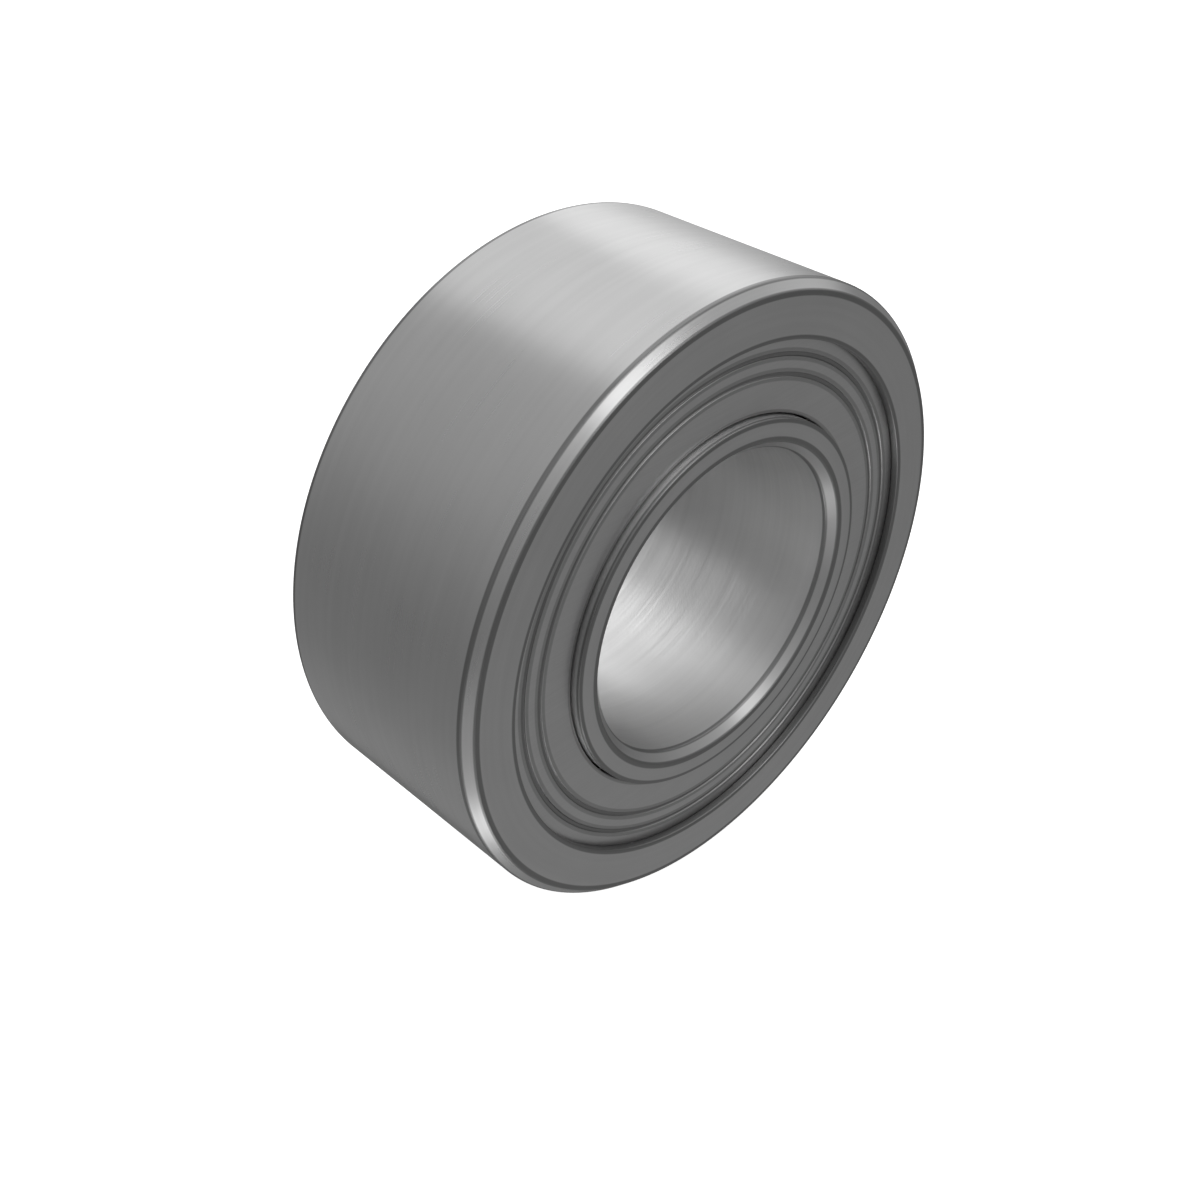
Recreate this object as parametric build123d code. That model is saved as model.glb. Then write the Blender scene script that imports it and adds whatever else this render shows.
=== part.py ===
from build123d import *
import os
from math import cos, radians, sin

# Shielded double-row cylindrical roller bearing, in millimetres.
# The bearing's axis is Y, its centre is the origin and +Z is up. The front face is at -Y.

# Boundary dimensions
OUTER_DIAMETER = 80.0
BORE_DIAMETER = 40.0
WIDTH = 32.0
EDGE_CHAMFER = 1.2  # mounting chamfer on the outer corners and on the bore's corners
EDGE_BREAK = 0.15  # break on the ground faces' other corners

# Rollers and raceways
PITCH_RADIUS = 28.0
ROLLERS_PER_ROW = 14
ROLLER_NOMINAL_DIAMETER = 10.0
ROLLER_LENGTH = 10.0
ROLLER_CORNER = 0.5
ROLLER_PLAY = 0.03  # gap between a roller and each raceway
ROLLER_SIDE_PLAY = 0.05  # gap between a roller's end and each rib
RELIEF_WIDTH = 0.6  # grinding relief at each end of the inner raceway
RELIEF_DEPTH = 0.2
RIB_HEIGHT = 1.0
CENTRE_RIB_WIDTH = 4.4

# Shields, pressed from sheet
SHIELD_RECESS = 1.1  # from the ring's side face to the shield's outer surface
SHIELD_THICKNESS = 0.8
SHIELD_SEAT_STEP = 0.2  # the seat's wall stands this far outside the outer raceway
SHIELD_GROOVE_DEPTH = 0.6
SHIELD_GAP = 0.2  # running gap over the inner ring's land
SHIELD_LIP = 1.4  # length of the turned-in lip at the shield's inner edge
BEAD_RADII = (31.2, 28.8)  # two pressed grooves in each shield
BEAD_DEPTH = 0.2
BEAD_HALF_WIDTH = 0.3

# Cages, one comb per row with its side ring at the middle of the bearing
CAGE_POCKET_PLAY = 0.1  # gap between a roller and its pocket
CAGE_END_PLAY = 0.1  # gap between a roller's end and the side ring
CAGE_HALF_GAP = 0.2  # half the gap between the two cages
SIDE_RING_INNER = 24.6
SIDE_RING_OUTER = 31.5
PRONG_INNER = 25.2
PRONG_OUTER = 29.6
PRONG_END = 12.0

# Values that follow from the ones above
HALF_WIDTH = WIDTH / 2
OUTER_RADIUS = OUTER_DIAMETER / 2
BORE_RADIUS = BORE_DIAMETER / 2
INNER_RACEWAY = PITCH_RADIUS - ROLLER_NOMINAL_DIAMETER / 2
OUTER_RACEWAY = PITCH_RADIUS + ROLLER_NOMINAL_DIAMETER / 2
ROLLER_RADIUS = ROLLER_NOMINAL_DIAMETER / 2 - ROLLER_PLAY
LAND_RADIUS = INNER_RACEWAY + RIB_HEIGHT
SEAT_RADIUS = OUTER_RACEWAY + SHIELD_SEAT_STEP
SHIELD_RIM_RADIUS = SEAT_RADIUS + SHIELD_GROOVE_DEPTH
SHIELD_EDGE_RADIUS = LAND_RADIUS + SHIELD_GAP
SHIELD_OUTER_Y = HALF_WIDTH - SHIELD_RECESS
SHIELD_INNER_Y = SHIELD_OUTER_Y - SHIELD_THICKNESS
ROW_START = CENTRE_RIB_WIDTH / 2
ROW_END = ROW_START + ROLLER_LENGTH + 2 * ROLLER_SIDE_PLAY
ROLLER_CENTRE_Y = (ROW_START + ROW_END) / 2
SIDE_RING_END = ROW_START + ROLLER_SIDE_PLAY - CAGE_END_PLAY
POCKET_RADIUS = ROLLER_RADIUS + CAGE_POCKET_PLAY
PITCH_ANGLE = 360.0 / ROLLERS_PER_ROW

FRONT = -1  # the row and shield at -Y
BACK = 1


def turned(points):
    """The solid that a closed outline of (radius, y) points makes when it turns about the Y axis."""
    outline = Polyline([(radius, y) for radius, y in points], close=True)
    return revolve(make_face(outline), Axis.Y)


def both_halves(half):
    """An outline that is symmetric about y = 0, from the points of its +Y half."""
    return half + [(radius, -y) for radius, y in reversed(half)]


def outer_ring():
    """Ribless outer ring with a plain raceway and a snap groove for each shield."""
    raceway_end = ROW_END + RELIEF_WIDTH
    return turned(both_halves([
        (OUTER_RACEWAY, raceway_end),
        (SEAT_RADIUS, raceway_end + SHIELD_SEAT_STEP),
        (SEAT_RADIUS, SHIELD_INNER_Y),
        (SHIELD_RIM_RADIUS, SHIELD_INNER_Y),
        (SHIELD_RIM_RADIUS, SHIELD_OUTER_Y),
        (SEAT_RADIUS, SHIELD_OUTER_Y),
        (SEAT_RADIUS, HALF_WIDTH - EDGE_BREAK),
        (SEAT_RADIUS + EDGE_BREAK, HALF_WIDTH),
        (OUTER_RADIUS - EDGE_CHAMFER, HALF_WIDTH),
        (OUTER_RADIUS, HALF_WIDTH - EDGE_CHAMFER),
    ]))


def inner_ring():
    """One-piece inner ring: two raceways between a centre rib and two end ribs, and a plain bore."""
    relief = INNER_RACEWAY - RELIEF_DEPTH
    return turned(both_halves([
        (LAND_RADIUS - EDGE_BREAK, ROW_START),
        (relief, ROW_START),
        (relief, ROW_START + RELIEF_WIDTH - RELIEF_DEPTH),
        (INNER_RACEWAY, ROW_START + RELIEF_WIDTH),
        (INNER_RACEWAY, ROW_END - RELIEF_WIDTH),
        (relief, ROW_END - RELIEF_WIDTH + RELIEF_DEPTH),
        (relief, ROW_END),
        (LAND_RADIUS - EDGE_BREAK, ROW_END),
        (LAND_RADIUS, ROW_END + EDGE_BREAK),
        (LAND_RADIUS, HALF_WIDTH - EDGE_BREAK),
        (LAND_RADIUS - EDGE_BREAK, HALF_WIDTH),
        (BORE_RADIUS + EDGE_CHAMFER, HALF_WIDTH),
        (BORE_RADIUS, HALF_WIDTH - EDGE_CHAMFER),
    ]))


def shield(side):
    """Pressed steel shield: its rim fills the outer ring's groove and its lip turns in beside the land."""
    flank = BEAD_HALF_WIDTH - BEAD_DEPTH / 2
    lip_end = SHIELD_OUTER_Y - SHIELD_LIP
    outside = [(SHIELD_RIM_RADIUS, SHIELD_OUTER_Y)]
    inside = [(SHIELD_RIM_RADIUS, SHIELD_INNER_Y)]
    for bead in BEAD_RADII:
        outside += [
            (bead + BEAD_HALF_WIDTH, SHIELD_OUTER_Y),
            (bead + flank, SHIELD_OUTER_Y - BEAD_DEPTH),
            (bead - flank, SHIELD_OUTER_Y - BEAD_DEPTH),
            (bead - BEAD_HALF_WIDTH, SHIELD_OUTER_Y),
        ]
        inside += [
            (bead + 2 * BEAD_HALF_WIDTH, SHIELD_INNER_Y),
            (bead + BEAD_HALF_WIDTH, SHIELD_INNER_Y - BEAD_DEPTH),
            (bead - BEAD_HALF_WIDTH, SHIELD_INNER_Y - BEAD_DEPTH),
            (bead - 2 * BEAD_HALF_WIDTH, SHIELD_INNER_Y),
        ]
    outside += [
        (SHIELD_EDGE_RADIUS + EDGE_BREAK, SHIELD_OUTER_Y),
        (SHIELD_EDGE_RADIUS, SHIELD_OUTER_Y - EDGE_BREAK),
        (SHIELD_EDGE_RADIUS, lip_end),
    ]
    inside += [
        (SHIELD_EDGE_RADIUS + SHIELD_THICKNESS, SHIELD_INNER_Y),
        (SHIELD_EDGE_RADIUS + SHIELD_THICKNESS, lip_end),
    ]
    outline = outside + list(reversed(inside))
    return turned([(radius, side * y) for radius, y in outline])


def row_angles(side):
    """The rollers' places around a row, in degrees. The back row is staggered by half a pitch."""
    stagger = PITCH_ANGLE / 2 if side == BACK else 0.0
    return [stagger + index * PITCH_ANGLE for index in range(ROLLERS_PER_ROW)]


def on_pitch_circle(side, angle):
    """Moves something made at the origin to a roller's centre."""
    x = PITCH_RADIUS * cos(radians(angle))
    z = PITCH_RADIUS * sin(radians(angle))
    return Pos(x, side * ROLLER_CENTRE_Y, z)


def ring(inner, outer, start, end):
    """A plain ring about the Y axis between two y places."""
    return turned([(inner, start), (outer, start), (outer, end), (inner, end)])


def cage(side):
    """One-piece comb cage: a side ring with a prong between each two rollers, hollowed to hold them."""
    side_ring = ring(SIDE_RING_INNER, SIDE_RING_OUTER, side * CAGE_HALF_GAP, side * SIDE_RING_END)
    prongs = ring(PRONG_INNER, PRONG_OUTER, side * SIDE_RING_END, side * PRONG_END)
    pocket = Rot(90, 0, 0) * Cylinder(POCKET_RADIUS, ROLLER_LENGTH + 2 * CAGE_END_PLAY)
    for angle in row_angles(side):
        prongs -= on_pitch_circle(side, angle) * pocket
    return side_ring + prongs


def roller(side, angle):
    """A cylindrical roller with rounded corners, lying along the bearing's axis."""
    blank = Rot(90, 0, 0) * Cylinder(ROLLER_RADIUS, ROLLER_LENGTH)
    rounded = fillet(blank.edges().filter_by(GeomType.CIRCLE), ROLLER_CORNER)
    return on_pitch_circle(side, angle) * rounded


def nodes():
    """Every named piece of the bearing."""
    pieces = {
        "outer_ring": outer_ring(),
        "inner_ring": inner_ring(),
    }
    for name, side in (("front", FRONT), ("back", BACK)):
        pieces[f"{name}_shield"] = shield(side)
        pieces[f"{name}_cage"] = cage(side)
        for number, angle in enumerate(row_angles(side), start=1):
            pieces[f"{name}_roller_{number:02d}"] = roller(side, angle)
    return pieces


os.makedirs("parts", exist_ok=True)
for node, piece in nodes().items():
    piece.label = node
    export_step(piece, f"parts/{node}.step")
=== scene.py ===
"""Looks of a shielded cylindrical roller bearing: a ground steel outer ring and inner ring, a pressed
steel shield on each side, and honed rollers in brass comb cages inside. Metres; the bearing's axis is Y."""
import math

import bpy
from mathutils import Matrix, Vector


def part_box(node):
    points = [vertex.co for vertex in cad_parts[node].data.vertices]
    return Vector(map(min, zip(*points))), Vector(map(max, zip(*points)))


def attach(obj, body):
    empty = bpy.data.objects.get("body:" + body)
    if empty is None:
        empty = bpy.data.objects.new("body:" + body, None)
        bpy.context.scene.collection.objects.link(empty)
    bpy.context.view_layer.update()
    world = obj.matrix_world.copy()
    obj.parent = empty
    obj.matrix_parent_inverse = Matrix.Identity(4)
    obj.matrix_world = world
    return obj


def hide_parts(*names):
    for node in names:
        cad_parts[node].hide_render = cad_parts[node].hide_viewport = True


MM = 0.001
MICRON = 0.000001
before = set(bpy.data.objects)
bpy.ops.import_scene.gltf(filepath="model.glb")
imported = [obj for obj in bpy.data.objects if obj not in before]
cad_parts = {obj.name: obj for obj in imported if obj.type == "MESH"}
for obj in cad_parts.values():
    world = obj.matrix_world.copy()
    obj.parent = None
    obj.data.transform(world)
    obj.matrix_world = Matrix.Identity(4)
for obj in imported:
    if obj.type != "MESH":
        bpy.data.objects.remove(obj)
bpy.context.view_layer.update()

# Sizes read from the frame
OUTER_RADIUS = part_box("outer_ring")[1].x
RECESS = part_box("front_shield")[0].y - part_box("outer_ring")[0].y  # how far the shields are set back
SEGMENTS = 288  # flats around each turned piece

# The camera stands off the axis and looks at a point slightly below and left of the centre
VIEW_AZIMUTH = math.radians(-44.09)
VIEW_ELEVATION = math.radians(36.44)
VIEW_DISTANCE = 4.651 * OUTER_RADIUS
VIEW_LEFT = 0.0946 * OUTER_RADIUS
VIEW_DOWN = 0.1469 * OUTER_RADIUS
LENS_MM = 44.58
SENSOR_MM = 36.0


# Camera, light and stage

def view_back():
    """The direction from the bearing back to the camera."""
    return Vector((
        math.sin(VIEW_AZIMUTH) * math.cos(VIEW_ELEVATION),
        -math.cos(VIEW_AZIMUTH) * math.cos(VIEW_ELEVATION),
        math.sin(VIEW_ELEVATION),
    ))


def make_camera():
    """A camera that looks along the view's direction, shifted left and down to place the bearing."""
    back = view_back()
    right = Vector((math.cos(VIEW_AZIMUTH), math.sin(VIEW_AZIMUTH), 0))
    up = back.cross(right)
    data = bpy.data.cameras.new("camera")
    data.lens = LENS_MM
    data.sensor_width = SENSOR_MM
    data.clip_start = 1 * MM
    camera = bpy.data.objects.new("camera", data)
    camera.location = back * VIEW_DISTANCE - right * VIEW_LEFT - up * VIEW_DOWN
    camera.rotation_mode = "QUATERNION"
    camera.rotation_quaternion = (-back).to_track_quat("-Z", "Y")
    bpy.context.scene.collection.objects.link(camera)
    bpy.context.scene.camera = camera


def make_softbox(name, turn, along, distance, width, length, radiance):
    """An even rectangle of light beside the bearing's axis, with two edges parallel to it. Turn is the angle
    about the axis in degrees, from +X towards +Z. Along is the y of its middle."""
    data = bpy.data.lights.new(name, "AREA")
    data.shape = "RECTANGLE"
    data.size = width
    data.size_y = length
    data.energy = radiance * math.pi * width * length
    light = bpy.data.objects.new(name, data)
    angle = math.radians(turn)
    outward = Vector((math.cos(angle), 0, math.sin(angle)))
    light.location = outward * distance + Vector((0, along, 0))
    light.rotation_mode = "QUATERNION"
    light.rotation_quaternion = outward.to_track_quat("Z", "Y")
    light.visible_camera = False
    bpy.context.scene.collection.objects.link(light)
    return light


def make_long_box(name, turn, width, radiance):
    """A softbox that stands behind the bearing's middle, where it also shines into the bore from the back."""
    return make_softbox(name, turn, along=0.55, distance=0.6, width=width, length=1.0, radiance=radiance)


def light_only(light, pieces):
    """Keeps a light to some of the pieces."""
    chosen = bpy.data.collections.new(light.name + "_pieces")
    for piece in pieces:
        chosen.objects.link(piece)
    light.light_linking.receiver_collection = chosen


# How bright the studio is at each height of a direction, from straight down (-1) to straight up (1)
STUDIO_LEVELS = (
    (-1.0, 0.21),
    (-0.80, 0.29),
    (-0.59, 0.25),
    (-0.36, 0.23),
    (-0.05, 0.25),
    (0.20, 0.31),
    (0.45, 0.41),
    (0.78, 0.50),
    (1.0, 0.56),
)

# A dark card in the studio, straight behind the bearing, which its outline reflects as a thin dark line
CARD_RADIUS = math.radians(23)
CARD_FADE = math.radians(6)
CARD_LEVEL = 0.12  # the studio's brightness at the card, as a share of what it is elsewhere


def make_world():
    """A grey studio that is lightest overhead. Only reflections see it: the camera sees the stage."""
    world = bpy.data.worlds.new("studio")
    bpy.context.scene.world = world
    world.use_nodes = True
    nodes, links = world.node_tree.nodes, world.node_tree.links
    background = nodes["Background"]
    background.inputs["Color"].default_value = (1, 1, 1, 1)
    direction = nodes.new("ShaderNodeTexCoord")
    split = nodes.new("ShaderNodeSeparateXYZ")
    links.new(direction.outputs["Generated"], split.inputs[0])
    curve = nodes.new("ShaderNodeFloatCurve")
    points = curve.mapping.curves[0].points
    while len(points) < len(STUDIO_LEVELS):
        points.new(0, 0)
    for point, (height, level) in zip(points, STUDIO_LEVELS):
        point.location = ((height + 1) / 2, level)
    curve.mapping.update()
    to_share = nodes.new("ShaderNodeMath")
    to_share.operation = "MULTIPLY_ADD"
    to_share.inputs[1].default_value = 0.5
    to_share.inputs[2].default_value = 0.5
    links.new(split.outputs["Z"], to_share.inputs[0])
    links.new(to_share.outputs[0], curve.inputs["Value"])
    towards_card = nodes.new("ShaderNodeVectorMath")
    towards_card.operation = "DOT_PRODUCT"
    towards_card.inputs[1].default_value = -view_back()
    links.new(direction.outputs["Generated"], towards_card.inputs[0])
    card = nodes.new("ShaderNodeMapRange")
    card.interpolation_type = "SMOOTHSTEP"
    card.inputs["From Min"].default_value = math.cos(CARD_RADIUS + CARD_FADE)
    card.inputs["From Max"].default_value = math.cos(CARD_RADIUS)
    card.inputs["To Min"].default_value = 1.0
    card.inputs["To Max"].default_value = CARD_LEVEL
    links.new(towards_card.outputs["Value"], card.inputs["Value"])
    strength = nodes.new("ShaderNodeMath")
    strength.operation = "MULTIPLY"
    links.new(curve.outputs[0], strength.inputs[0])
    links.new(card.outputs[0], strength.inputs[1])
    links.new(strength.outputs[0], background.inputs["Strength"])


# The stage's glow, near the bearing and far from it, and the distances between which it changes
GLOW_NEAR = 0.85
GLOW_FAR = 1.0
GLOW_START = 0.15
GLOW_END = 1.2


def make_stage_material():
    """Matt white paint that glows, more so further out, so that it stays white. It is clear from behind."""
    material = bpy.data.materials.new("stage_white")
    material.use_nodes = True
    nodes, links = material.node_tree.nodes, material.node_tree.links
    paint = nodes["Principled BSDF"]
    paint.inputs["Base Color"].default_value = (0.9, 0.9, 0.9, 1)
    paint.inputs["Roughness"].default_value = 1.0
    paint.inputs["Specular IOR Level"].default_value = 0.0
    paint.inputs["Emission Color"].default_value = (1, 1, 1, 1)
    place = nodes.new("ShaderNodeTexCoord")
    reach = nodes.new("ShaderNodeVectorMath")
    reach.operation = "LENGTH"
    links.new(place.outputs["Object"], reach.inputs[0])
    glow = nodes.new("ShaderNodeMapRange")
    glow.interpolation_type = "SMOOTHSTEP"
    glow.inputs["From Min"].default_value = GLOW_START
    glow.inputs["From Max"].default_value = GLOW_END
    glow.inputs["To Min"].default_value = GLOW_NEAR
    glow.inputs["To Max"].default_value = GLOW_FAR
    links.new(reach.outputs["Value"], glow.inputs["Value"])
    links.new(glow.outputs[0], paint.inputs["Emission Strength"])
    clear = nodes.new("ShaderNodeBsdfTransparent")
    side = nodes.new("ShaderNodeNewGeometry")
    mix = nodes.new("ShaderNodeMixShader")
    links.new(side.outputs["Backfacing"], mix.inputs[0])
    links.new(paint.outputs[0], mix.inputs[1])
    links.new(clear.outputs[0], mix.inputs[2])
    links.new(mix.outputs[0], nodes["Material Output"].inputs["Surface"])
    return material


def make_stage():
    """A pale floor under the rim that curves up into a round wall. Only the camera sees it."""
    centre_radius, floor_radius, bend_radius, wall_height = 0.2, 1.6, 0.6, 3.0
    bend_steps, around = 12, 96
    outline = [(0.0, 0.0), (centre_radius, 0.0), (floor_radius, 0.0)]
    for step in range(1, bend_steps + 1):
        turn = math.pi / 2 * step / bend_steps
        outline.append((
            floor_radius + bend_radius * math.sin(turn),
            bend_radius * (1 - math.cos(turn)),
        ))
    outline.append((floor_radius + bend_radius, wall_height))
    vertices, faces = [], []
    for index in range(around):
        angle = 2 * math.pi * index / around
        for radius, height in outline:
            vertices.append((
                radius * math.cos(angle),
                radius * math.sin(angle),
                height - OUTER_RADIUS,
            ))
    count = len(outline)
    for index in range(around):
        here, there = index * count, (index + 1) % around * count
        for step in range(count - 1):
            faces.append((here + step, here + step + 1, there + step + 1, there + step))
    mesh = bpy.data.meshes.new("stage")
    mesh.from_pydata(vertices, [], faces)
    mesh.materials.append(make_stage_material())
    mesh.polygons.foreach_set("use_smooth", [True] * len(mesh.polygons))
    stage = bpy.data.objects.new("stage", mesh)
    bpy.context.scene.collection.objects.link(stage)
    stage.visible_glossy = False
    stage.visible_diffuse = False
    stage.visible_transmission = False
    stage.visible_shadow = False


# Materials

EDGE_PAINTED_SHADE = 0.45  # the painted shade of a rounded edge: its colour as a share of the flat's
NOISE_MIDDLE = (0.25, 0.75)  # where most of a noise's values lie


class Tree:
    """A metal's node tree, with short calls for the nodes that the finishes share. Own size is the size of
    each piece, for a material whose pieces don't lie round the bearing's axis."""

    def __init__(self, name, base, own_size=None):
        self.material = bpy.data.materials.new(name)
        self.material.use_nodes = True
        self.nodes = self.material.node_tree.nodes
        self.links = self.material.node_tree.links
        self.shader = self.nodes["Principled BSDF"]
        self.base = base
        self.own_size = own_size
        self.shader.inputs["Metallic"].default_value = 1.0

    def math(self, operation, first, second=0.5, third=0.5):
        """One Math node's result, from numbers or other nodes' results."""
        node = self.nodes.new("ShaderNodeMath")
        node.operation = operation
        for socket, value in zip(node.inputs, (first, second, third)):
            self.feed(value, socket)
        return node.outputs[0]

    def feed(self, value, socket):
        """Links a node's result to a socket, or sets the socket to a number."""
        if isinstance(value, bpy.types.NodeSocket):
            self.links.new(value, socket)
        else:
            socket.default_value = value

    def place(self):
        """(x, y, z, radius from the piece's own axis) of the shaded point, in metres."""
        coordinates = self.nodes.new("ShaderNodeTexCoord")
        split = self.nodes.new("ShaderNodeSeparateXYZ")
        if self.own_size is None:
            self.links.new(coordinates.outputs["Object"], split.inputs[0])
        else:
            # Generated runs from 0 to 1 over the piece's box, so this is measured from the piece's middle
            centred = self.nodes.new("ShaderNodeVectorMath")
            centred.operation = "MULTIPLY_ADD"
            centred.inputs[1].default_value = self.own_size
            centred.inputs[2].default_value = -self.own_size / 2
            self.links.new(coordinates.outputs["Generated"], centred.inputs[0])
            self.links.new(centred.outputs[0], split.inputs[0])
        x, y, z = split.outputs
        squares = self.math("ADD", self.math("MULTIPLY", x, x), self.math("MULTIPLY", z, z))
        return x, y, z, self.math("SQRT", squares)

    def lay(self, around, across):
        """Noise drawn out round the Y axis, as turning and grinding leave it. Sizes are in metres."""
        x, y, z, radius = self.place()
        vector = self.nodes.new("ShaderNodeCombineXYZ")
        self.feed(self.math("DIVIDE", x, around), vector.inputs[0])
        self.feed(self.math("DIVIDE", z, around), vector.inputs[1])
        self.feed(self.math("DIVIDE", self.math("ADD", radius, y), across), vector.inputs[2])
        return self.noise(vector.outputs[0], detail=1.5)

    def noise(self, vector, scale=1.0, detail=2.0):
        """Noise from 0 to 1, with grains of a unit's size at scale 1."""
        node = self.nodes.new("ShaderNodeTexNoise")
        node.inputs["Scale"].default_value = scale
        node.inputs["Detail"].default_value = detail
        self.feed(vector, node.inputs["Vector"])
        return node.outputs["Fac"]

    def spots(self, size):
        """Even noise with grains of a size in metres."""
        coordinates = self.nodes.new("ShaderNodeTexCoord")
        return self.noise(coordinates.outputs["Object"], 1 / size)

    def spread(self, value, low, high):
        """A noise mapped so that its middle part runs from low to high. The rest is cut off at the ends."""
        node = self.nodes.new("ShaderNodeMapRange")
        node.inputs["From Min"].default_value = NOISE_MIDDLE[0]
        node.inputs["From Max"].default_value = NOISE_MIDDLE[1]
        node.inputs["To Min"].default_value = low
        node.inputs["To Max"].default_value = high
        self.feed(value, node.inputs["Value"])
        return node.outputs[0]

    def painted_edge_shade(self):
        """1 on the flats, falling to an edge's painted shade where the edge attribute is 1: shade painted
        along edges, creases and recess walls.
        """
        node = self.nodes.new("ShaderNodeAttribute")
        node.attribute_name = "edge"
        return self.math("MULTIPLY_ADD", node.outputs["Fac"], EDGE_PAINTED_SHADE - 1, 1.0)

    def brush_round(self, amount):
        """Draws reflections out across the lay, as grooves that run round the Y axis do."""
        tangent = self.nodes.new("ShaderNodeTangent")
        tangent.direction_type = "RADIAL"
        tangent.axis = "Y"
        self.links.new(tangent.outputs[0], self.shader.inputs["Tangent"])
        self.shader.inputs["Anisotropic"].default_value = amount
        self.shader.inputs["Anisotropic Rotation"].default_value = 0.25

    def paint(self, shade):
        """Sets the colour to the base colour times a shade."""
        node = self.nodes.new("ShaderNodeVectorMath")
        node.operation = "SCALE"
        node.inputs[0].default_value = self.base
        self.feed(shade, node.inputs["Scale"])
        self.links.new(node.outputs[0], self.shader.inputs["Base Color"])

    def bump(self, height, distance, after=None):
        """A normal bent by a height of 0 to 1 times a distance in metres, on top of another bump if given."""
        node = self.nodes.new("ShaderNodeBump")
        node.inputs["Strength"].default_value = 1.0
        node.inputs["Distance"].default_value = distance
        self.feed(height, node.inputs["Height"])
        if after is not None:
            self.links.new(after, node.inputs["Normal"])
        return node.outputs[0]


def metal_with_lay(name, base, roughness, fine, coarse, brushed, own_size=None):
    """Metal cut or ground round its axis: a fine and a coarse lay, faint mottling and painted shade on its
    rounded edges.
    """
    tree = Tree(name, base, own_size)
    tree.brush_round(brushed)
    fine_lay = tree.lay(around=20 * MM, across=fine)
    coarse_lay = tree.lay(around=30 * MM, across=coarse)
    mottle = tree.spots(9 * MM)
    streaks = tree.math("MULTIPLY", tree.spread(coarse_lay, 0.97, 1.025), tree.spread(mottle, 0.97, 1.02))
    # The colour is streaked and mottled, and darkened by the painted shade along edges and recess walls
    tree.paint(tree.math("MULTIPLY", streaks, tree.painted_edge_shade()))
    rough = tree.math("MULTIPLY", tree.spread(fine_lay, 0.9, 1.12), tree.spread(mottle, 0.94, 1.07))
    tree.feed(tree.math("MULTIPLY", rough, roughness), tree.shader.inputs["Roughness"])
    grooves = tree.bump(fine_lay, 0.5 * MICRON)
    tree.feed(tree.bump(coarse_lay, 1.2 * MICRON, grooves), tree.shader.inputs["Normal"])
    return tree.material


def sheet_steel(name, base, roughness):
    """Cold-rolled sheet: straight rolling grain, a fine orange peel from pressing, and painted shade in its
    creases.
    """
    tree = Tree(name, base)
    grain_length, grain_width = 12 * MM, 0.2 * MM
    x, y, z, _ = tree.place()
    vector = tree.nodes.new("ShaderNodeCombineXYZ")
    tree.feed(tree.math("DIVIDE", x, grain_length), vector.inputs[0])
    tree.feed(tree.math("DIVIDE", y, grain_width), vector.inputs[1])
    tree.feed(tree.math("DIVIDE", z, grain_width), vector.inputs[2])
    grain = tree.noise(vector.outputs[0])
    peel = tree.spots(0.7 * MM)
    mottle = tree.spots(7 * MM)
    shade = tree.math("MULTIPLY", tree.spread(grain, 0.965, 1.03), tree.spread(mottle, 0.97, 1.02))
    # Painted shade in the creases and at their brims darkens the colour
    tree.paint(tree.math("MULTIPLY", shade, tree.painted_edge_shade()))
    rough = tree.math("MULTIPLY", tree.spread(grain, 0.92, 1.1), roughness)
    tree.feed(rough, tree.shader.inputs["Roughness"])
    skin = tree.bump(peel, 1.5 * MICRON)
    tree.feed(tree.bump(grain, 0.8 * MICRON, skin), tree.shader.inputs["Normal"])
    return tree.material


# Shapes

STRAIGHT = math.radians(1)  # a smaller turn isn't a corner
LONGEST_BREAK = 0.25 * MM  # a longer slope is a chamfer, not a broken edge
LARGEST_REACH = 0.4  # of a rounding, as a share of the shorter side of its corner
ROUNDING_STEPS = 5
EDGE_FADE = 0.14 * MM  # over which the dark of an edge ends


def seam_outline(node):
    """A turned CAD node's closed outline of (radius, y) corners, from its mesh at z = 0 on the +X side."""
    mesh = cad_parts[node].data
    tiny, decimals = 1e-7, 7
    on_seam = {
        vertex.index: (round(vertex.co.x, decimals), round(vertex.co.y, decimals))
        for vertex in mesh.vertices
        if abs(vertex.co.z) < tiny and vertex.co.x > tiny
    }
    beside = {}
    for edge in mesh.edges:
        first, second = (on_seam.get(index) for index in edge.vertices)
        if first and second and first != second:
            beside.setdefault(first, set()).add(second)
            beside.setdefault(second, set()).add(first)
    start = min(beside)
    outline, previous, here = [start], None, start
    while True:
        onward = sorted(point for point in beside[here] if point != previous)
        previous, here = here, onward[0]
        if here == start:
            return corners_only(outline)
        outline.append(here)


def without_breaks(outline):
    """Puts a square corner back where a short slope breaks one, so that one rounding can take its place."""
    kept = []
    for index, point in enumerate(outline):
        before, far_before = outline[index - 1], outline[index - 2]
        after, far_after = outline[(index + 1) % len(outline)], outline[(index + 2) % len(outline)]
        if is_break(far_before, before, point, after):
            kept.append((before[0], point[1]) if before[0] == far_before[0] else (point[0], before[1]))
        elif not is_break(before, point, after, far_after):
            kept.append(point)
    return kept


def is_break(far_before, before, after, far_after):
    """True if before to after is a short slope between a cylinder and a side face."""
    from_cylinder = before[0] == far_before[0] and after[1] == far_after[1]
    from_face = before[1] == far_before[1] and after[0] == far_after[0]
    slopes = before[0] != after[0] and before[1] != after[1]
    return slopes and (from_cylinder or from_face) and math.dist(before, after) < LONGEST_BREAK


def corners_only(outline):
    """Leaves out the points that lie on a straight line between their neighbours."""
    kept = []
    for index, point in enumerate(outline):
        before = Vector(point) - Vector(outline[index - 1])
        after = Vector(outline[(index + 1) % len(outline)]) - Vector(point)
        if before.angle(after) > STRAIGHT:
            kept.append(point)
    return kept


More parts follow.
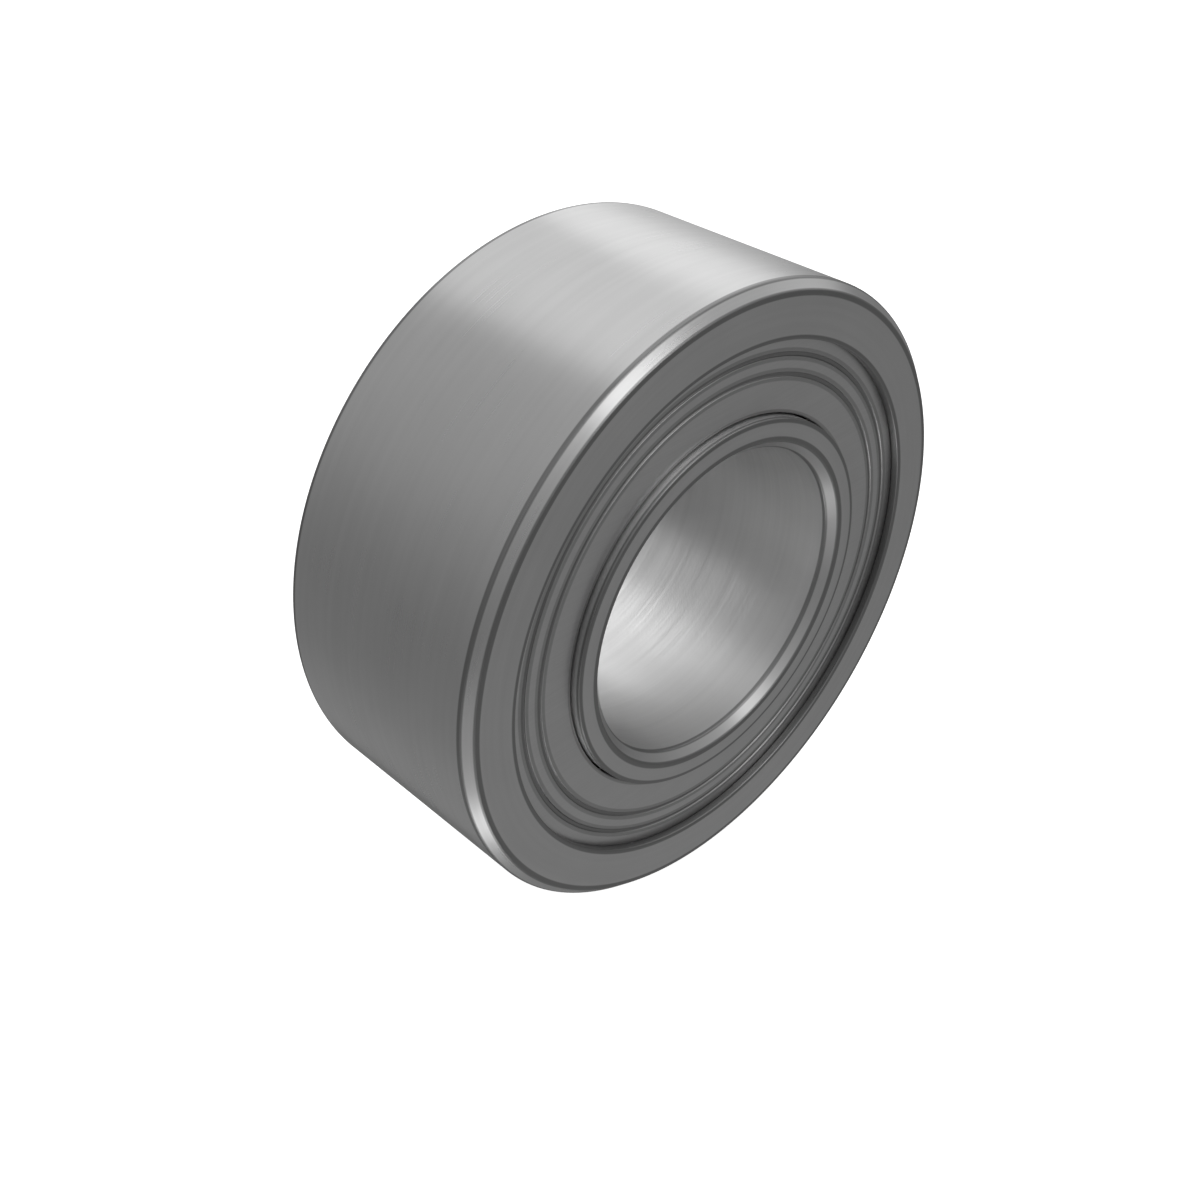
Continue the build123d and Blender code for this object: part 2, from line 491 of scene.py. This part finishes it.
def rounded(outline, reach_of, painted_shade_at, painted_shade_along):
    """The outline with each corner rounded, as (radius, y, edge) points. Edge is the painted shade that
    painted_shade_at gives the corner, on its rounding and as far beside it as painted_shade_along says, and
    fades to 0 on the flats."""
    points = []
    for index, point in enumerate(outline):
        corner = Vector(point)
        back = Vector(outline[index - 1]) - corner
        on = Vector(outline[(index + 1) % len(outline)]) - corner
        turn = math.pi - back.angle(on)
        reach = min(reach_of(turn), LARGEST_REACH * min(back.length, on.length))
        shade = painted_shade_at(*point)
        before_length, after_length = back.length, on.length
        back.normalize()
        on.normalize()
        dark_before = max(reach, painted_shade_along(point, back))
        dark_after = max(reach, painted_shade_along(point, on))
        if before_length > 2 * (dark_before + EDGE_FADE):
            points.append((*(corner + back * (dark_before + EDGE_FADE)), 0.0))
            points.append((*(corner + back * dark_before), shade))
        for step in range(ROUNDING_STEPS + 1):
            share = step / ROUNDING_STEPS
            # A quadratic curve through the two tangent points is within a hair of the arc at this size
            place = corner + back * reach * (1 - share) ** 2 + on * reach * share ** 2
            points.append((*place, shade))
        if after_length > 2 * (dark_after + EDGE_FADE):
            points.append((*(corner + on * dark_after), shade))
            points.append((*(corner + on * (dark_after + EDGE_FADE)), 0.0))
    return points


def lathe(name, points, material_of, materials):
    """A mesh object made by turning closed (radius, y, edge) points about the Y axis. Material_of gives the
    index of the material between two of the points."""
    count = len(points)
    vertices, edge_painted_shades = [], []
    for index in range(SEGMENTS):
        angle = 2 * math.pi * index / SEGMENTS
        for radius, y, edge in points:
            vertices.append((radius * math.cos(angle), y, radius * math.sin(angle)))
            edge_painted_shades.append(edge)
    faces, slots = [], []
    for index in range(SEGMENTS):
        here, there = index * count, (index + 1) % SEGMENTS * count
        for step in range(count):
            after = (step + 1) % count
            faces.append((here + step, here + after, there + after, there + step))
            slots.append(material_of(points[step], points[after]))
    mesh = bpy.data.meshes.new(name)
    mesh.from_pydata(vertices, [], faces)
    for material in materials:
        mesh.materials.append(material)
    mesh.polygons.foreach_set("material_index", slots)
    mesh.polygons.foreach_set("use_smooth", [True] * len(faces))
    # The edge attribute carries each point's painted shade, for the materials' painted_edge_shade
    attribute = mesh.attributes.new("edge", "FLOAT", "POINT")
    attribute.data.foreach_set("value", edge_painted_shades)
    mesh.update()
    piece = bpy.data.objects.new(name, mesh)
    bpy.context.scene.collection.objects.link(piece)
    face_outwards(piece)
    smooth = piece.modifiers.new("normals", "WEIGHTED_NORMAL")
    smooth.mode = "FACE_AREA"
    smooth.weight = 100
    return piece


def face_outwards(piece):
    """Turns the faces round if the closed mesh's volume comes out negative."""
    mesh = piece.data
    volume = 0.0
    for face in mesh.polygons:
        a, b, c, d = (mesh.vertices[index].co for index in face.vertices)
        volume += a.dot(b.cross(c)) + a.dot(c.cross(d))
    if volume < 0:
        mesh.flip_normals()


# Pieces

STEEL = (0.60, 0.60, 0.60)
SHEET_STEEL = (0.60, 0.60, 0.60)
ROLLER_STEEL = (0.64, 0.65, 0.66)
BRASS = (0.60, 0.42, 0.17)

ALIGNED = 0.9  # the cosine above which a line counts as running along an axis
FLAT_SLOPE = 0.3  # the slope below which a stretch counts as a cylinder or a side face
RECESS_PAINTED_SHADE = 1.35  # the painted shade, as edge value, of the corners at the bottom of a recess, where real shade falls
BRIM_PAINTED_SHADE = 0.55  # the painted shade, as edge value, of the corners on a shield's surface
CREASE_DEPTH = 0.1 * MM  # below a shield's surface, where its creases start

# How far the painted shade beside a corner reaches along what meets there
FACE_LINE = 0.5 * MM
SLOPE_LINE = 0.2 * MM
CYLINDER_LINE = 0.35 * MM
SHIELD_LINE = 0.38 * MM

# The radii of the rounded edges
SHARPEST_CHAMFER = math.radians(60)  # a corner that turns less is one of a chamfer
CHAMFER_EDGE = 0.3 * MM
SQUARE_EDGE = 0.28 * MM
SHIELD_EDGE = 0.22 * MM


def make_ring(name, node, body, metals):
    """A ring with rounded edges on the CAD's own outline. Metals has its finishes, for the cylinders, the
    side faces and the slopes."""
    outline = without_breaks(seam_outline(node))
    outer, inner = max(outline)[0], min(outline)[0]
    half_width = max(y for radius, y in outline)

    def painted_shade_at(radius, y):
        """Painted shade at the corners of the side faces, outer surface and bore, and darker still down the
        recess walls.
        """
        depth = half_width - abs(y)
        if depth < 0.1 * RECESS or radius in (outer, inner):
            return 1.0
        return RECESS_PAINTED_SHADE if depth < 1.1 * RECESS else 0.0

    def painted_shade_along(point, direction):
        """The painted shade covers the recess's whole wall, and a narrower line beside the other corners."""
        if abs(direction.x) > ALIGNED:
            return FACE_LINE
        if abs(direction.y) < ALIGNED:
            return SLOPE_LINE
        return CYLINDER_LINE if point[0] in (outer, inner) else RECESS

    def reach_of(turn):
        """A rounding's reach along both sides of its corner. Square corners have a slightly finer one."""
        radius = CHAMFER_EDGE if turn < SHARPEST_CHAMFER else SQUARE_EDGE
        return radius * math.tan(turn / 2)

    points = rounded(outline, reach_of, painted_shade_at, painted_shade_along)
    ring = lathe(name, points, surface_kind, metals)
    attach(ring, body)
    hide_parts(node)
    return ring


def surface_kind(first, second):
    """0 for a cylinder, 1 for a side face and 2 for a slope such as a chamfer."""
    across, along = abs(first[0] - second[0]), abs(first[1] - second[1])
    if across < FLAT_SLOPE * along:
        return 0
    return 1 if along < FLAT_SLOPE * across else 2


def make_shield(name, node, sheet):
    """A pressed shield with rounded edges on the CAD's own outline."""
    outline = without_breaks(seam_outline(node))
    surface = max(abs(y) for radius, y in outline)

    def painted_shade_at(radius, y):
        """Painted shade below the shield's outer surface, in the pressed grooves, and about half as dark at
        the corners on it.
        """
        return 1.0 if abs(y) < surface - CREASE_DEPTH else BRIM_PAINTED_SHADE

    def reach_of(turn):
        return SHIELD_EDGE * math.tan(turn / 2)

    def painted_shade_along(point, direction):
        return SHIELD_LINE

    def same_material(first, second):
        return 0

    points = rounded(outline, reach_of, painted_shade_at, painted_shade_along)
    shield = lathe(name, points, same_material, (sheet,))
    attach(shield, "outer_ring")
    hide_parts(node)
    return shield


def finish_cad_node(node, material):
    """Gives a CAD node, whose shape stays as it is, a material of its own."""
    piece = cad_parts[node]
    piece.data.materials.clear()
    piece.data.materials.append(material)


def make_bearing():
    """Every piece with its finish. Returns the pieces that share the outside's lights, and the bore's."""
    ground = metal_with_lay(
        "ground_steel", STEEL,
        roughness=0.30, fine=0.3 * MM, coarse=0.9 * MM, brushed=0.6,
    )
    bored = metal_with_lay(
        "bored_steel", STEEL,
        roughness=0.46, fine=0.3 * MM, coarse=0.8 * MM, brushed=0.65,
    )
    faced = metal_with_lay(
        "faced_steel", STEEL,
        roughness=0.33, fine=0.25 * MM, coarse=0.7 * MM, brushed=0.3,
    )
    turned = metal_with_lay(
        "turned_steel", STEEL,
        roughness=0.30, fine=0.3 * MM, coarse=0.6 * MM, brushed=0.3,
    )
    outer_ring = make_ring("outer_ring_ground", "outer_ring", "outer_ring", (ground, faced, turned))
    inner_ring = make_ring("inner_ring_ground", "inner_ring", "inner_ring", (bored, faced, turned))
    sheet = sheet_steel("sheet_steel", SHEET_STEEL, roughness=0.34)
    front_shield = make_shield("front_shield_pressed", "front_shield", sheet)
    back_shield = make_shield("back_shield_pressed", "back_shield", sheet)
    low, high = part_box("front_roller_01")
    honed = metal_with_lay(
        "honed_steel", ROLLER_STEEL,
        roughness=0.12, fine=0.08 * MM, coarse=0.7 * MM, brushed=0.4, own_size=high - low,
    )
    brass = metal_with_lay(
        "machined_brass", BRASS,
        roughness=0.28, fine=0.15 * MM, coarse=0.8 * MM, brushed=0.4,
    )
    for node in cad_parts:
        if "_roller_" in node:
            finish_cad_node(node, honed)
        elif node.endswith("_cage"):
            finish_cad_node(node, brass)
    return (outer_ring, front_shield, back_shield), (inner_ring,)


def light_bearing(outside, inside):
    """The studio and its softboxes. The crown box lights the outside only, and the bore boxes the inside."""
    make_world()
    make_long_box("key_box", turn=50, width=1.5, radiance=0.46)
    make_softbox("front_top_box", turn=81, along=-0.42, distance=0.37, width=0.22, length=0.25, radiance=1.9)
    make_softbox("low_kicker", turn=249, along=-0.21, distance=0.56, width=0.15, length=0.15, radiance=2.1)
    make_softbox("low_left_box", turn=226, along=-0.36, distance=0.53, width=0.6, length=0.5, radiance=0.13)
    light_only(make_long_box("crown_box", turn=1, width=0.34, radiance=0.46), outside)
    light_only(make_long_box("bore_key", turn=76, width=1.35, radiance=0.85), inside)
    light_only(make_long_box("bore_fill", turn=125, width=0.55, radiance=0.75), inside)
    light_only(make_long_box("bore_side", turn=10, width=0.7, radiance=0.72), inside)


make_camera()
make_stage()
light_bearing(*make_bearing())
bpy.context.scene.view_settings.view_transform = "Standard"
